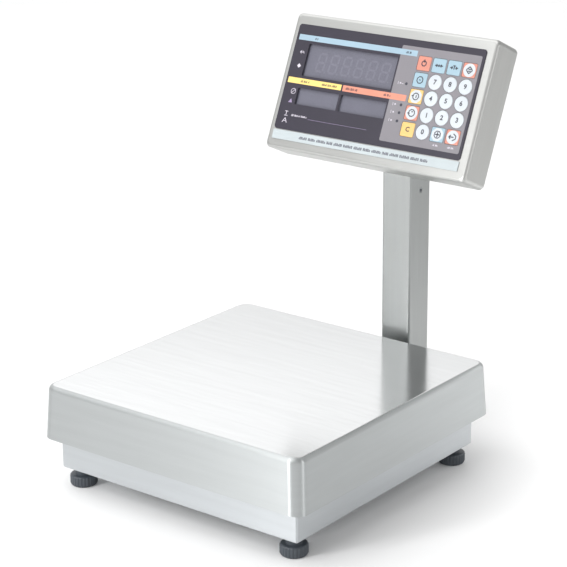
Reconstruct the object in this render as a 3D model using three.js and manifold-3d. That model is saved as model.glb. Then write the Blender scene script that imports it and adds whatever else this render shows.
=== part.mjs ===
// A stainless bench scale: four screw feet carry a low sheet-steel frame, a load cell in the frame
// carries a spider with rubber pads, and a lift-off platter rests on the pads. A square column
// bolted behind the frame holds the tilting head, which has three display windows and twenty keys.
// Millimetres, +Z up, +X to the user's right, +Y away from the user.

import * as THREE from "three";
import { mergeVertices } from "three/addons/utils/BufferGeometryUtils.js";
import Module from "manifold-3d";

// ---- Driving dimensions -------------------------------------------------------------------

const GAP = 0.3; // clearance kept between pieces that touch
const SHEET = 1.5; // stainless sheet of the platter, the column and the head
const PLATTER = { side: 300, flare: 3, top: 102, height: 52, corner: 12.5, edge: 4.5 };
const FRAME = { side: 280, bottom: 18, top: 72, wall: 2 };
const FOOT = { inset: 14, radius: 13, height: 11, ribs: 24, ribDepth: 0.6, hubRadius: 7.5 };
const STUD = { radius: 4, bottom: 12, top: 46 };
const CELL = { length: 150, width: 25, bottom: 28.6, height: 40, eyeRadius: 11, eyeX: 17, slot: 3 };
const SPIDER = { bottom: 78, top: 96, wall: 2.5, reachX: 125, reachY: 125, beam: 40 };
const PAD = { radius: 10, height: 4.2 };
const COLUMN = { side: 34, x: 32.5, front: 163, bottom: 25.3, top: 266.4, corner: 2.5 };
const BRACKET = { sheet: 3, bottom: 22, neckTop: 46, top: 80, step: 157 };
const PIVOT = { y: 180, z: 249, screw: 2.5, ear: 8 };
const HEAD = { width: 236, height: 138, depth: 38.6, x: 15.5, y: 126.6, z: 282, tilt: 24.5 };
const OVERLAY = { left: 6.5, bottom: 19.6, width: 219, height: 107, thick: 0.5 };
const LABEL = { bottom: 9.3, height: 9.4, thick: 0.4 };
const KEY = { x: 154.5, y: 85.4, pitchX: 17, pitchY: 16.2, wide: 14.8, high: 13.8, round: 7.4 };
const KEY_PROUD = 0.3; // how far a key stands above the overlay
const KEY_DEEP = 2.5; // a key's thickness
const M6 = { shank: 3, hole: 3.3, head: 5.6, headHeight: 4 };

// Windows in the overlay, as spans [left, right, bottom, top] from the overlay's lower left corner.
const WINDOWS = [
  [17.3, 124, 55.6, 88],
  [17.3, 67.2, 26.6, 43.1],
  [69.7, 124, 26.6, 43.1],
];

// Keys by row, top row first. A digit key is round, and every other key is a rounded square.
const KEYS = [
  ["power", "zero", "tare", "total"],
  ["preset_tare", "7", "8", "9"],
  ["unit_price", "4", "5", "6"],
  ["memory", "1", "2", "3"],
  ["clear", "0", "add", "transfer"],
];

const STEEL = [0xcfd1cd, 0.32, 1];
const DARK_STEEL = [0x9aa0a2, 0.4, 1];
const ALUMINIUM = [0xb9bdc0, 0.45, 1];
const RUBBER = [0x30363b, 0.85, 0];
const BOARD = [0x1f5a3a, 0.6, 0];

// ---- Solids -------------------------------------------------------------------------------

const wasm = await Module();
wasm.setup();

// A closed geometry as a solid for cutting and joining.
function solid(geometry) {
  const bare = geometry.index ? geometry.toNonIndexed() : geometry.clone();
  bare.deleteAttribute("normal");
  bare.deleteAttribute("uv");
  const merged = mergeVertices(bare, 1e-4);
  return new wasm.Manifold(
    new wasm.Mesh({
      numProp: 3,
      vertProperties: merged.attributes.position.array,
      triVerts: new Uint32Array(merged.index.array),
    }),
  );
}

function geometryOf(body) {
  const mesh = body.getMesh();
  const geometry = new THREE.BufferGeometry();
  geometry.setAttribute("position", new THREE.BufferAttribute(mesh.vertProperties, 3));
  geometry.setIndex(new THREE.BufferAttribute(mesh.triVerts, 1));
  geometry.computeVertexNormals();
  return geometry;
}

// The first geometry joined with the others.
function join(first, ...others) {
  return geometryOf(others.reduce((sum, other) => sum.add(solid(other)), solid(first)));
}

// The first geometry with the others cut away.
function cut(first, ...others) {
  return geometryOf(others.reduce((rest, other) => rest.subtract(solid(other)), solid(first)));
}

// A box between two corners.
function block(x0, x1, y0, y1, z0, z1) {
  const box = new THREE.BoxGeometry(x1 - x0, y1 - y0, z1 - z0);
  return box.translate((x0 + x1) / 2, (y0 + y1) / 2, (z0 + z1) / 2);
}

// A cylinder from z0 to z1 about the vertical through x, y.
function post(x, y, z0, z1, radius, sides = 16) {
  const rod = new THREE.CylinderGeometry(radius, radius, z1 - z0, sides).rotateX(Math.PI / 2);
  return rod.translate(x, y, (z0 + z1) / 2);
}

// A cylinder from x0 to x1 along X.
function rodX(x0, x1, y, z, radius, sides = 16) {
  const rod = new THREE.CylinderGeometry(radius, radius, x1 - x0, sides).rotateZ(Math.PI / 2);
  return rod.translate((x0 + x1) / 2, y, z);
}

// A cylinder from y0 to y1 along Y.
function rodY(x, y0, y1, z, radius, sides = 16) {
  const rod = new THREE.CylinderGeometry(radius, radius, y1 - y0, sides);
  return rod.translate(x, (y0 + y1) / 2, z);
}

// A shape's outline as straight lines, with an arc in 2 * steps of them.
function faceted(shape, steps) {
  return new THREE.Shape(shape.getPoints(steps));
}

function roundedRect(left, right, bottom, top, radius, steps = 2) {
  const shape = new THREE.Shape();
  shape.absarc(right - radius, bottom + radius, radius, -Math.PI / 2, 0);
  shape.absarc(right - radius, top - radius, radius, 0, Math.PI / 2);
  shape.absarc(left + radius, top - radius, radius, Math.PI / 2, Math.PI);
  shape.absarc(left + radius, bottom + radius, radius, Math.PI, 1.5 * Math.PI);
  return faceted(shape, steps);
}

function disc(x, y, radius, steps = 8) {
  return faceted(new THREE.Shape().absarc(x, y, radius, 0, 2 * Math.PI), steps);
}

// A shape drawn in X and Y, from z0 up to z1, with its lower and upper edges rounded by edge.
function upright(shape, z0, z1, edge = 0) {
  const options = { depth: z1 - z0 - 2 * edge, curveSegments: 3, bevelEnabled: edge > 0 };
  Object.assign(options, { bevelThickness: edge, bevelSize: edge, bevelOffset: -edge });
  options.bevelSegments = 3;
  return new THREE.ExtrudeGeometry(shape, options).translate(0, 0, z0 + edge);
}

// A shape drawn in X and Z, from y0 back to y1.
function standing(shape, y0, y1, edge = 0) {
  return upright(shape, -y1, -y0, edge).rotateX(Math.PI / 2);
}

// A shape drawn in Y and Z, from x0 to x1.
function sideways(shape, x0, x1) {
  return upright(shape, x0, x1).rotateX(Math.PI / 2).rotateZ(Math.PI / 2);
}

// Spreads a geometry's four quarters outwards, by nothing at top and by amount at bottom.
function flared(geometry, top, bottom, amount) {
  const points = geometry.attributes.position;
  for (let i = 0; i < points.count; i++) {
    const share = (amount * (top - points.getZ(i))) / (top - bottom);
    points.setX(i, points.getX(i) + share * Math.sign(points.getX(i)));
    points.setY(i, points.getY(i) + share * Math.sign(points.getY(i)));
  }
  return geometry;
}

function part(name, geometry, [colour, roughness, metalness]) {
  const material = new THREE.MeshStandardMaterial({ color: colour, roughness, metalness });
  const mesh = new THREE.Mesh(geometry, material);
  mesh.name = name;
  return mesh;
}

// ---- Platter, spider and load cell --------------------------------------------------------

// One skin of the platter: a flared block with a rounded top, inset from the outside.
function platterBlock(inset, bottom) {
  const { side, flare, top, height, corner, edge } = PLATTER;
  const half = side / 2 - inset;
  const outline = roundedRect(-half, half, -half, half, corner - inset);
  const body = upright(outline, bottom, top - inset, edge - inset);
  return flared(body, top, top - height, flare);
}

// The platter is a pressed tray, upside down.
function platter() {
  const { side, top, height } = PLATTER;
  const rim = top - height;
  const below = block(-side, side, -side, side, rim - 30, rim);
  return part("platter", cut(platterBlock(0, rim - 10), below, platterBlock(SHEET, rim - 20)), STEEL);
}

// Where the platter's underside is, which everything under it is stacked against.
const UNDERSIDE = PLATTER.top - SHEET;
const PAD_TOP = UNDERSIDE - GAP;
const PAD_X = SPIDER.reachX - SPIDER.beam / 2;
const PAD_Y = SPIDER.reachY - SPIDER.beam / 2;
const CELL_TOP = CELL.bottom + CELL.height;
const CELL_END = CELL.length / 2;
const RISER = 34; // length of the block at each end of the load cell

// An inverted channel: a box whose underside is hollowed out, as the box and its hollow.
function channel(x0, x1, y0, y1) {
  const { bottom, top, wall } = SPIDER;
  const box = block(x0, x1, y0, y1, bottom, top);
  return [box, block(x0 + wall, x1 - wall, y0 + wall, y1 - wall, bottom - 1, top - wall)];
}

// The spider: a channel along the load cell, a cross channel at each end, and a welded riser.
function liveFrame() {
  const { reachX, reachY, beam, top, wall } = SPIDER;
  const [spine, spineHollow] = channel(-reachX + beam / 2, reachX - beam / 2, -beam / 2, beam / 2);
  const [left, leftHollow] = channel(-reachX, -reachX + beam, -reachY, reachY);
  const [right, rightHollow] = channel(reachX - beam, reachX, -reachY, reachY);
  const shell = cut(join(spine, left, right), spineHollow, leftHollow, rightHollow);
  const half = CELL.width / 2;
  const riser = block(CELL_END - RISER, CELL_END, -half, half, CELL_TOP + GAP, top - wall / 2);
  return part("live_frame", join(shell, riser), DARK_STEEL);
}

function platterPads() {
  const pads = [];
  for (const [side, sx] of [["left", -1], ["right", 1]])
    for (const [end, sy] of [["front", -1], ["rear", 1]]) {
      const pad = post(sx * PAD_X, sy * PAD_Y, PAD_TOP - PAD.height + GAP, PAD_TOP, PAD.radius);
      pads.push(part(`platter_pad_${end}_${side}`, pad, RUBBER));
    }
  return pads;
}

// A single-point load cell: an aluminium bar with two round eyes joined by a slot.
function loadCell() {
  const { width, bottom, height, eyeRadius, eyeX, slot } = CELL;
  const middle = bottom + height / 2;
  const bar = block(-CELL_END, CELL_END, -width / 2, width / 2, bottom, CELL_TOP);
  const reach = width / 2 + 1;
  const eyes = [-eyeX, eyeX].map((x) => rodY(x, -reach, reach, middle, eyeRadius, 20));
  const between = block(-eyeX, eyeX, -reach, reach, middle - slot, middle + slot);
  return part("load_cell", cut(bar, ...eyes, between), ALUMINIUM);
}

// ---- Base frame and feet ------------------------------------------------------------------

const FRAME_HALF = FRAME.side / 2;
const FOOT_AT = FRAME_HALF - FOOT.inset;
const FLOOR = FRAME.bottom + FRAME.wall;
const CABLE = { radius: 2.5, hole: 3.6, floor: FLOOR + 3.2, wallZ: 34 };
const BOLT_X = 11.5; // the bracket's bolts, left and right of the column's middle
const BOLT_Z = 34;
const FLOOR_OPENING = { x: 84, near: 32, far: 112, corner: 12 };
const LEVEL_AT = { x: -60, y: -125, radius: 8, height: 9 };

// The base frame: a folded tray with two large openings in its floor and a riser for the cell.
function baseFrame() {
  const { bottom, top, wall } = FRAME;
  const inner = FRAME_HALF - wall;
  const outside = block(-FRAME_HALF, FRAME_HALF, -FRAME_HALF, FRAME_HALF, bottom, top);
  const inside = block(-inner, inner, -inner, inner, FLOOR, top + 1);
  const half = CELL.width / 2;
  const riser = block(-CELL_END, RISER - CELL_END, -half, half, bottom + 1, CELL.bottom - GAP);
  const tray = join(cut(outside, inside), riser);
  const holes = [rodY(COLUMN.x, inner - 1, FRAME_HALF + 1, CABLE.wallZ, CABLE.hole, 12)];
  for (const side of [-1, 1]) {
    const { x, near, far, corner } = FLOOR_OPENING;
    const [low, high] = side < 0 ? [-far, -near] : [near, far];
    holes.push(upright(roundedRect(-x, x, low, high, corner), bottom - 1, FLOOR + 1));
    holes.push(rodY(COLUMN.x + side * BOLT_X, inner - 1, FRAME_HALF + 1, BOLT_Z, M6.hole, 12));
    for (const end of [-1, 1])
      holes.push(post(side * FOOT_AT, end * FOOT_AT, bottom - 1, FLOOR + 1, STUD.radius + GAP));
  }
  return part("base_frame", cut(tray, ...holes), STEEL);
}

// A knob's ribbed outline: ridges between shallow grooves.
function ribbedOutline(radius, ribs, depth) {
  const shape = new THREE.Shape();
  const steps = ribs * 2;
  for (let i = 0; i < steps; i++) {
    const angle = (i / steps) * 2 * Math.PI;
    const r = i % 2 === 0 ? radius : radius - depth;
    if (i === 0) shape.moveTo(r, 0);
    else shape.lineTo(r * Math.cos(angle), r * Math.sin(angle));
  }
  shape.closePath();
  return shape;
}

// A levelling foot: a ribbed knob with a hub that reaches the frame, on a threaded stud.
function footAt(name, x, y) {
  const { radius, height, ribs, ribDepth, hubRadius } = FOOT;
  const disc = upright(ribbedOutline(radius, ribs, ribDepth), 0, height).translate(x, y, 0);
  const hub = post(x, y, height - 1, FRAME.bottom - GAP, hubRadius);
  const bore = post(x, y, STUD.bottom - GAP, FRAME.bottom, STUD.radius + GAP);
  const stud = post(x, y, STUD.bottom, STUD.top, STUD.radius, 12);
  return [
    part(`foot_knob_${name}`, cut(join(disc, hub), bore), RUBBER),
    part(`foot_stud_${name}`, stud, DARK_STEEL),
  ];
}

function feet() {
  return [
    ...footAt("front_left", -FOOT_AT, -FOOT_AT),
    ...footAt("front_right", FOOT_AT, -FOOT_AT),
    ...footAt("rear_left", -FOOT_AT, FOOT_AT),
    ...footAt("rear_right", FOOT_AT, FOOT_AT),
  ];
}

// A round spirit level on the frame's floor.
function bubbleLevel() {
  const { x, y, radius, height } = LEVEL_AT;
  const profile = [
    [0, 0],
    [radius, 0],
    [radius, height - 1],
    [radius - 1, height],
    [radius - 2, height],
    [radius - 3, height - 1.2],
    [0, height - 0.4],
  ];
  const points = profile.map(([r, z]) => new THREE.Vector2(r, z));
  const level = new THREE.LatheGeometry(points, 20).rotateX(Math.PI / 2);
  return part("bubble_level", level.translate(x, y, FLOOR + GAP), [0xd8d04a, 0.2, 0]);
}

// ---- Column -------------------------------------------------------------------------------

const COLUMN_HALF = COLUMN.side / 2;
const COLUMN_MID = COLUMN.front + COLUMN_HALF;
const CHEEK_IN = COLUMN_HALF + GAP;
const CHEEK_OUT = CHEEK_IN + BRACKET.sheet;
const WEB = FRAME_HALF + GAP;
const CROSS_BOLTS = { lower: 38, upper: 68 };

function column() {
  const { x, side, front, bottom, top, corner } = COLUMN;
  const outline = roundedRect(x - COLUMN_HALF, x + COLUMN_HALF, front, front + side, corner);
  const inHalf = COLUMN_HALF - SHEET;
  const bore = roundedRect(x - inHalf, x + inHalf, front + SHEET, front + side - SHEET, 1.2, 1);
  outline.holes.push(bore);
  const across = [x - side, x + side];
  const holes = [
    rodX(...across, PIVOT.y, PIVOT.z, PIVOT.screw + GAP, 16),
    rodX(...across, COLUMN_MID, CROSS_BOLTS.lower, M6.hole, 12),
    rodX(...across, COLUMN_MID, CROSS_BOLTS.upper, M6.hole, 12),
    rodY(x, front - 1, front + SHEET + 1, CABLE.wallZ, CABLE.hole, 12),
  ];
  return part("column", cut(upright(outline, bottom, top), ...holes), STEEL);
}

// The bracket behind the frame: a web on the frame's wall, a floor, and two cheeks that hold
// the column between them. Each cheek is low under the platter's skirt and tall behind it.
function columnBracket() {
  const { sheet, bottom, neckTop, top, step } = BRACKET;
  const { x, front, side } = COLUMN;
  const back = front + side;
  const web = block(x - CHEEK_OUT, x + CHEEK_OUT, WEB, WEB + sheet, bottom, neckTop);
  const floor = block(x - CHEEK_OUT, x + CHEEK_OUT, WEB, back, bottom, bottom + sheet);
  const cheek = new THREE.Shape();
  cheek.moveTo(WEB, bottom);
  cheek.lineTo(back, bottom);
  cheek.lineTo(back, top - 6);
  cheek.absarc(back - 6, top - 6, 6, 0, Math.PI / 2);
  cheek.lineTo(step + 6, top);
  cheek.absarc(step + 6, top - 6, 6, Math.PI / 2, Math.PI);
  cheek.lineTo(step, neckTop);
  cheek.lineTo(WEB, neckTop);
  cheek.closePath();
  const left = sideways(cheek, x - CHEEK_OUT, x - CHEEK_IN);
  const right = sideways(cheek, x + CHEEK_IN, x + CHEEK_OUT);
  const nuts = [CROSS_BOLTS.lower, CROSS_BOLTS.upper].map((z) =>
    rodX(x - CHEEK_OUT - 4, x - CHEEK_OUT + 1, COLUMN_MID, z, M6.head, 6),
  );
  const holes = [
    rodX(x - CHEEK_OUT - 9, x + CHEEK_OUT + 1, COLUMN_MID, CROSS_BOLTS.lower, M6.hole, 12),
    rodX(x - CHEEK_OUT - 9, x + CHEEK_OUT + 1, COLUMN_MID, CROSS_BOLTS.upper, M6.hole, 12),
    rodY(x - BOLT_X, WEB - 1, WEB + sheet + 1, BOLT_Z, M6.hole, 12),
    rodY(x + BOLT_X, WEB - 1, WEB + sheet + 1, BOLT_Z, M6.hole, 12),
    rodY(x, WEB - 1, WEB + sheet + 1, CABLE.wallZ, CABLE.hole, 12),
  ];
  return part("column_bracket", cut(join(web, floor, left, right, ...nuts), ...holes), DARK_STEEL);
}

// Hex bolts: two join the bracket to the frame, and two run across the column.
function columnBolts() {
  const { x } = COLUMN;
  const face = WEB + BRACKET.sheet + GAP;
  const bolts = [];
  for (const [side, sx] of [["left", -1], ["right", 1]]) {
    const at = x + sx * BOLT_X;
    const head = rodY(at, face, face + M6.headHeight, BOLT_Z, M6.head, 6);
    const shank = rodY(at, FRAME_HALF - 10, face + 1, BOLT_Z, M6.shank, 12);
    bolts.push(part(`bracket_bolt_${side}`, join(head, shank), DARK_STEEL));
  }
  const cheek = x + CHEEK_OUT + GAP;
  for (const [end, z] of Object.entries(CROSS_BOLTS)) {
    const head = rodX(cheek, cheek + M6.headHeight, COLUMN_MID, z, M6.head, 6);
    const shank = rodX(x - CHEEK_OUT - 6, cheek + 1, COLUMN_MID, z, M6.shank, 12);
    bolts.push(part(`column_bolt_${end}`, join(head, shank), DARK_STEEL));
  }
  return bolts;
}

// Low-headed screws that the head tilts on, one from each side of the column.
function pivotScrews() {
  const { y, z, screw } = PIVOT;
  const length = 7.5;
  const head = { radius: 4, height: 0.9 };
  return [["left", -1], ["right", 1]].map(([side, sx]) => {
    const face = COLUMN.x + sx * (COLUMN_HALF + GAP);
    const ends = (a, b) => [face + sx * a, face + sx * b].sort((p, q) => p - q);
    const cap = rodX(...ends(0, head.height), y, z, head.radius, 16);
    const shank = rodX(...ends(-length, head.height / 2), y, z, screw, 12);
    const socket = rodX(...ends(head.height - 0.6, head.height + 1), y, z, 1.6, 6);
    return part(`pivot_screw_${side}`, cut(join(cap, shank), socket), DARK_STEEL);
  });
}

// A round cable swept along a smooth curve through the given points.
function cable(name, points, steps) {
  const curve = new THREE.CatmullRomCurve3(points.map(([x, y, z]) => new THREE.Vector3(x, y, z)));
  const options = { steps, extrudePath: curve, bevelEnabled: false };
  const section = disc(0, 0, CABLE.radius, 4);
  return part(name, new THREE.ExtrudeGeometry(section, options), [0x2b2e31, 0.6, 0]);
}

// The load cell's cable: over the floor, out through the frame's wall, and up the column.
function signalCable() {
  const { x, front } = COLUMN;
  const floor = CABLE.floor;
  const riser = front + 8.5;
  const points = [
    [-CELL_END - GAP, 0, CELL.bottom + 18],
    [-CELL_END - 4, 0, CELL.bottom + 18],
    [-CELL_END - 8, 0, CELL.bottom + 18],
    [-CELL_END - 13, 1, CELL.bottom + 13],
    [-CELL_END - 15, 8, floor + 7],
    [-CELL_END - 15, 18, floor + 1.6],
    [-CELL_END - 15, 32, floor],
    [-CELL_END - 15, 60, floor],
    [-CELL_END - 12, 95, floor],
    [-CELL_END + 4, 117, floor],
    [0, 119, floor],
    [20, 119, floor + 3],
    [30, 122, CABLE.wallZ - 3],
    [x, 130, CABLE.wallZ],
    [x, 139, CABLE.wallZ],
    [x, front - 8, CABLE.wallZ],
    [x, front + 1, CABLE.wallZ],
    [x, riser - 1.5, CABLE.wallZ + 4],
    [x, riser, CABLE.wallZ + 14],
    [x, riser, 180],
    [x, riser + 2, 225],
    [x, PIVOT.y, PIVOT.z - 4],
  ];
  return cable("signal_cable", points, 60);
}

// ---- Head ---------------------------------------------------------------------------------

// The head's own axes: X along its lower front edge, Y into it, Z up its face.
const TILT = THREE.MathUtils.degToRad(HEAD.tilt);
const HEAD_LEFT = -HEAD.width / 2;
const REAR = HEAD.depth + GAP + SHEET; // the rear cover's outside
const ARM_X = COLUMN.x - HEAD.x;
const PIVOT_IN_HEAD = new THREE.Vector2(PIVOT.y - HEAD.y, PIVOT.z - HEAD.z).rotateAround(
  new THREE.Vector2(),
  TILT,
);
const GLAND = { x: ARM_X, z: 16, radius: 3.6 };
const INLET = { x: -60, z: 24, wide: 12, high: 8 };
const BRACKET_SCREWS = { lower: 30, upper: 46 };
const OVERLAY_X = HEAD_LEFT + OVERLAY.left;

// A rectangle on the overlay, as a shape in the head's X and Z, grown by extra on every side.
function onOverlay([left, right, bottom, top], radius, extra = 0) {
  const [x, z] = [OVERLAY_X, OVERLAY.bottom];
  return roundedRect(x + left - extra, x + right + extra, z + bottom - extra, z + top + extra, radius, 1);
}

const DISPLAY_SPAN = [14, 127, 23, 91];
const KEYPAD_SPAN = [145.5, 215, 11.5, 95];

// The front case: a deep steel tray with soft edges, open at the back inside a return flange.
function frontCase() {
  const { width, height, depth } = HEAD;
  const half = width / 2;
  const outline = roundedRect(-half, half, 0, height, 5);
  const inner = roundedRect(-half + SHEET, half - SHEET, SHEET, height - SHEET, 3);
  const flange = 11;
  const mouth = roundedRect(-half + flange, half - flange, flange, height - flange, 4);
  const geometry = cut(
    standing(outline, 0, depth, 3.5),
    standing(inner, SHEET, depth - SHEET),
    standing(mouth, depth - SHEET - 1, depth + 1),
    standing(onOverlay(DISPLAY_SPAN, 2), -1, SHEET + 1),
    standing(onOverlay(KEYPAD_SPAN, 2), -1, SHEET + 1),
  );
  return part("front_case", geometry, STEEL);
}

function rearCover() {
  const { width, height, depth } = HEAD;
  const margin = 5;
  const half = width / 2 - margin;
  const plate = standing(roundedRect(-half, half, margin, height - margin, 6), depth + GAP, REAR);
  const span = [depth - 1, REAR + 1];
  const holes = [
    rodY(GLAND.x, ...span, GLAND.z, GLAND.radius, 12),
    block(INLET.x - INLET.wide, INLET.x + INLET.wide, ...span, INLET.z - INLET.high, INLET.z + INLET.high),
    rodY(ARM_X, ...span, BRACKET_SCREWS.lower, 2 + GAP, 12),
    rodY(ARM_X, ...span, BRACKET_SCREWS.upper, 2 + GAP, 12),
  ];
  return part("rear_cover", cut(plate, ...holes), STEEL);
}

// The head's bracket: a web on the rear cover and two ears that enter the column's open top.
function headBracket() {
  const ear = new THREE.Shape();
  const { x: py, y: pz } = PIVOT_IN_HEAD;
  const [low, high] = [14, 56];
  const web = REAR + GAP;
  ear.moveTo(web, high);
  ear.lineTo(web, low);
  ear.absarc(py, pz, PIVOT.ear, 1.16 * Math.PI, 2.1 * Math.PI);
  ear.closePath();
  const inside = COLUMN_HALF - SHEET - 0.5;
  const thick = 2.5;
  const left = sideways(ear, ARM_X - inside, ARM_X - inside + thick);
  const right = sideways(ear, ARM_X + inside - thick, ARM_X + inside);
  const plate = block(ARM_X - inside, ARM_X + inside, web, web + thick, low + 10, high);
  const holes = [
    rodX(ARM_X - inside - 1, ARM_X + inside + 1, py, pz, PIVOT.screw + GAP, 16),
    rodY(ARM_X, web - 1, web + thick + 1, BRACKET_SCREWS.lower, 2 + GAP, 12),
    rodY(ARM_X, web - 1, web + thick + 1, BRACKET_SCREWS.upper, 2 + GAP, 12),
  ];
  return part("head_bracket", cut(join(left, right, plate), ...holes), DARK_STEEL);
}

function bracketScrews() {
  const face = REAR + GAP + 2.5 + GAP;
  return Object.entries(BRACKET_SCREWS).map(([end, z]) => {
    const head = rodY(ARM_X, face, face + 2.4, z, 3.8, 16);
    const shank = rodY(ARM_X, REAR - 5, face + 1, z, 2, 12);
    return part(`bracket_screw_${end}`, join(head, shank), DARK_STEEL);
  });
}

// The rest of the signal cable: from the tilt axis up through the gland into the head.
function headCable() {
  const { x: py, y: pz } = PIVOT_IN_HEAD;
  const points = [
    [ARM_X, py + 1, pz + 4],
    [ARM_X, py - 1, pz + 12],
    [ARM_X, py - 8, GLAND.z - 2],
    [ARM_X, REAR, GLAND.z],
    [ARM_X, REAR - 8, GLAND.z],
  ];
  return cable("head_cable", points, 20);
}

// ---- Face: overlay, label, displays and keys ----------------------------------------------

const OVERLAY_BACK = -GAP;
const OVERLAY_FRONT = OVERLAY_BACK - OVERLAY.thick;
const DIGITS = /^[0-9]$/;

// A key's outline, grown by extra on every side.
function keyOutline(name, column, row, extra = 0) {
  const x = OVERLAY_X + KEY.x + column * KEY.pitchX;
  const z = OVERLAY.bottom + KEY.y - row * KEY.pitchY;
  if (DIGITS.test(name)) return disc(x, z, KEY.round + extra);
  const [wide, high] = [KEY.wide / 2 + extra, KEY.high / 2 + extra];
  return roundedRect(x - wide, x + wide, z - high, z + high, 1.2, 1);
}

function overlay() {
  const film = onOverlay([0, OVERLAY.width, 0, OVERLAY.height], 3);
  WINDOWS.forEach((span) => film.holes.push(onOverlay(span, 0.8)));
  KEYS.forEach((names, row) =>
    names.forEach((name, column) => film.holes.push(keyOutline(name, column, row, GAP))),
  );
  return part("overlay", standing(film, OVERLAY_FRONT, OVERLAY_BACK), [0x3b3644, 0.35, 0]);
}

function keys() {
  const front = OVERLAY_FRONT - KEY_PROUD;
  return KEYS.flatMap((names, row) =>
    names.map((name, column) => {
      const shape = keyOutline(name, column, row);
      return part(`key_${name}`, standing(shape, front, front + KEY_DEEP), [0xf2f3f5, 0.4, 0]);
    }),
  );
}

function labelStrip() {
  const right = OVERLAY_X + OVERLAY.width;
  const strip = roundedRect(OVERLAY_X, right, LABEL.bottom, LABEL.bottom + LABEL.height, 1);
  const geometry = standing(strip, OVERLAY_BACK - LABEL.thick, OVERLAY_BACK);
  return part("label_strip", geometry, [0xe6f1f6, 0.5, 0]);
}

// A plate on the overlay's layout, from depth y0 to y1 behind the face.
function panel([left, right, bottom, top], y0, y1) {
  const [x, z] = [OVERLAY_X, OVERLAY.bottom];
  return block(x + left, x + right, y0, y1, z + bottom, z + top);
}

// What the case holds, from the face to the back.
function insides() {
  const window = panel([12, 129, 21, 93], SHEET + GAP, 3.4);
  const glasses = WINDOWS.map((span) => panel(span, 3.7, 6.2));
  const displayBoard = panel([10, 130, 19, 95], 6, 7.6);
  const keyBoard = panel([140, 217, 8, 99], 2.2, 3.8);
  const mainBoard = panel([15, 205, 6, 101], 14, 15.6);
  const chips = [panel([30, 50, 30, 50], 15, 17.6), panel([90, 120, 60, 76], 15, 18.6)];
  const plugs = [panel([150, 180, 20, 28], 15, 24), panel([60, 72, 80, 98], 15, 22)];
  const power = panel([20, 95, 45, 92], 24, HEAD.depth - SHEET - GAP);
  return [
    part("display_window", window, [0x6f6c7c, 0.15, 0]),
    part("display_module", join(displayBoard, ...glasses), [0x55545f, 0.3, 0]),
    part("keypad_board", keyBoard, BOARD),
    part("main_board", join(mainBoard, ...chips, ...plugs), BOARD),
    part("power_unit", power, ALUMINIUM),
  ];
}

// The power socket in the rear cover: a flanged housing with an open socket.
function powerInlet() {
  const { x, z, wide, high } = INLET;
  const flange = block(x - wide - 3, x + wide + 3, REAR + GAP, REAR + 2.3, z - high - 3, z + high + 3);
  const [w, h] = [wide - GAP, high - GAP];
  const housing = block(x - w, x + w, REAR - 14, REAR + 1, z - h, z + h);
  const socket = block(x - w + 2, x + w - 2, REAR - 10, REAR + 3, z - h + 2, z + h - 2);
  return part("power_inlet", cut(join(flange, housing), socket), RUBBER);
}

function head() {
  const group = new THREE.Group();
  group.add(frontCase(), rearCover(), overlay(), labelStrip(), ...keys());
  group.add(...insides(), powerInlet(), headBracket(), ...bracketScrews(), headCable());
  group.position.set(HEAD.x, HEAD.y, HEAD.z);
  group.rotation.x = -TILT;
  return group;
}

// ---- Assembly -----------------------------------------------------------------------------

const scale = new THREE.Group();
scale.add(platter(), liveFrame(), ...platterPads(), loadCell());
scale.add(baseFrame(), ...feet(), bubbleLevel());
scale.add(column(), columnBracket(), ...columnBolts(), ...pivotScrews(), signalCable());
scale.add(head());

// The origin is the middle of the whole scale's outline on the surface it stands on.
scale.updateMatrixWorld(true);
const outline = new THREE.Box3().setFromObject(scale, true);
const middle = outline.getCenter(new THREE.Vector3());
scale.position.set(-middle.x, -middle.y, -outline.min.z);

export default scale;
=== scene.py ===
"""A stainless bench scale with a tilting display and keypad head: the looks, built on its CAD frame.

Every piece is made in the row frame, in metres: +Z up, +X to the user's right, +Y away from the user.
Pieces of the head are drawn flat on the head (X along it, Y into it, Z up its face) and then tilted.
"""

import math

import bmesh
import bpy
from mathutils import Matrix, Vector


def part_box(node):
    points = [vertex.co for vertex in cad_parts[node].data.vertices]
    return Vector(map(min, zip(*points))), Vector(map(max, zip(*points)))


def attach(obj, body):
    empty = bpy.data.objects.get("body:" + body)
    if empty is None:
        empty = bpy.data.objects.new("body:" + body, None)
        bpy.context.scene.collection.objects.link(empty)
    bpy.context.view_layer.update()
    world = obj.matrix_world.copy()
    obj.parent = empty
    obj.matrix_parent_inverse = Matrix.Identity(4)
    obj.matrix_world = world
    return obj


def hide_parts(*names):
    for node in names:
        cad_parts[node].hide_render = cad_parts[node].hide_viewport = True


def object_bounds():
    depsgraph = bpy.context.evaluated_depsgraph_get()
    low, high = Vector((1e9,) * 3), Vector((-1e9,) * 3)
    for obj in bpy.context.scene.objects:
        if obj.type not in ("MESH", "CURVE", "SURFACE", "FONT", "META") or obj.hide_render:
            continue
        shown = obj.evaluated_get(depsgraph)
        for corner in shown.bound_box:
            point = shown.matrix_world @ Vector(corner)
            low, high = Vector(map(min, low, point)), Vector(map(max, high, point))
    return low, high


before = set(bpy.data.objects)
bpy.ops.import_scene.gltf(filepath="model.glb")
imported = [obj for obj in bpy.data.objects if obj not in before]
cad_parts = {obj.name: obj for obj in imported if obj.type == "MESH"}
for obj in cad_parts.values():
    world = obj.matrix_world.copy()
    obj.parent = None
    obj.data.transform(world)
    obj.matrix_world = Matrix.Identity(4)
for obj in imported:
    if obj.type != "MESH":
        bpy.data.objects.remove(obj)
CAD_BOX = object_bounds()

MM = 0.001
STEP_ANGLE = math.radians(35)  # edges sharper than this stay sharp


# ---- Where things are, from the frame -----------------------------------------------------


def box_middle(node):
    low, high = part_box(node)
    return (low + high) / 2


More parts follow.
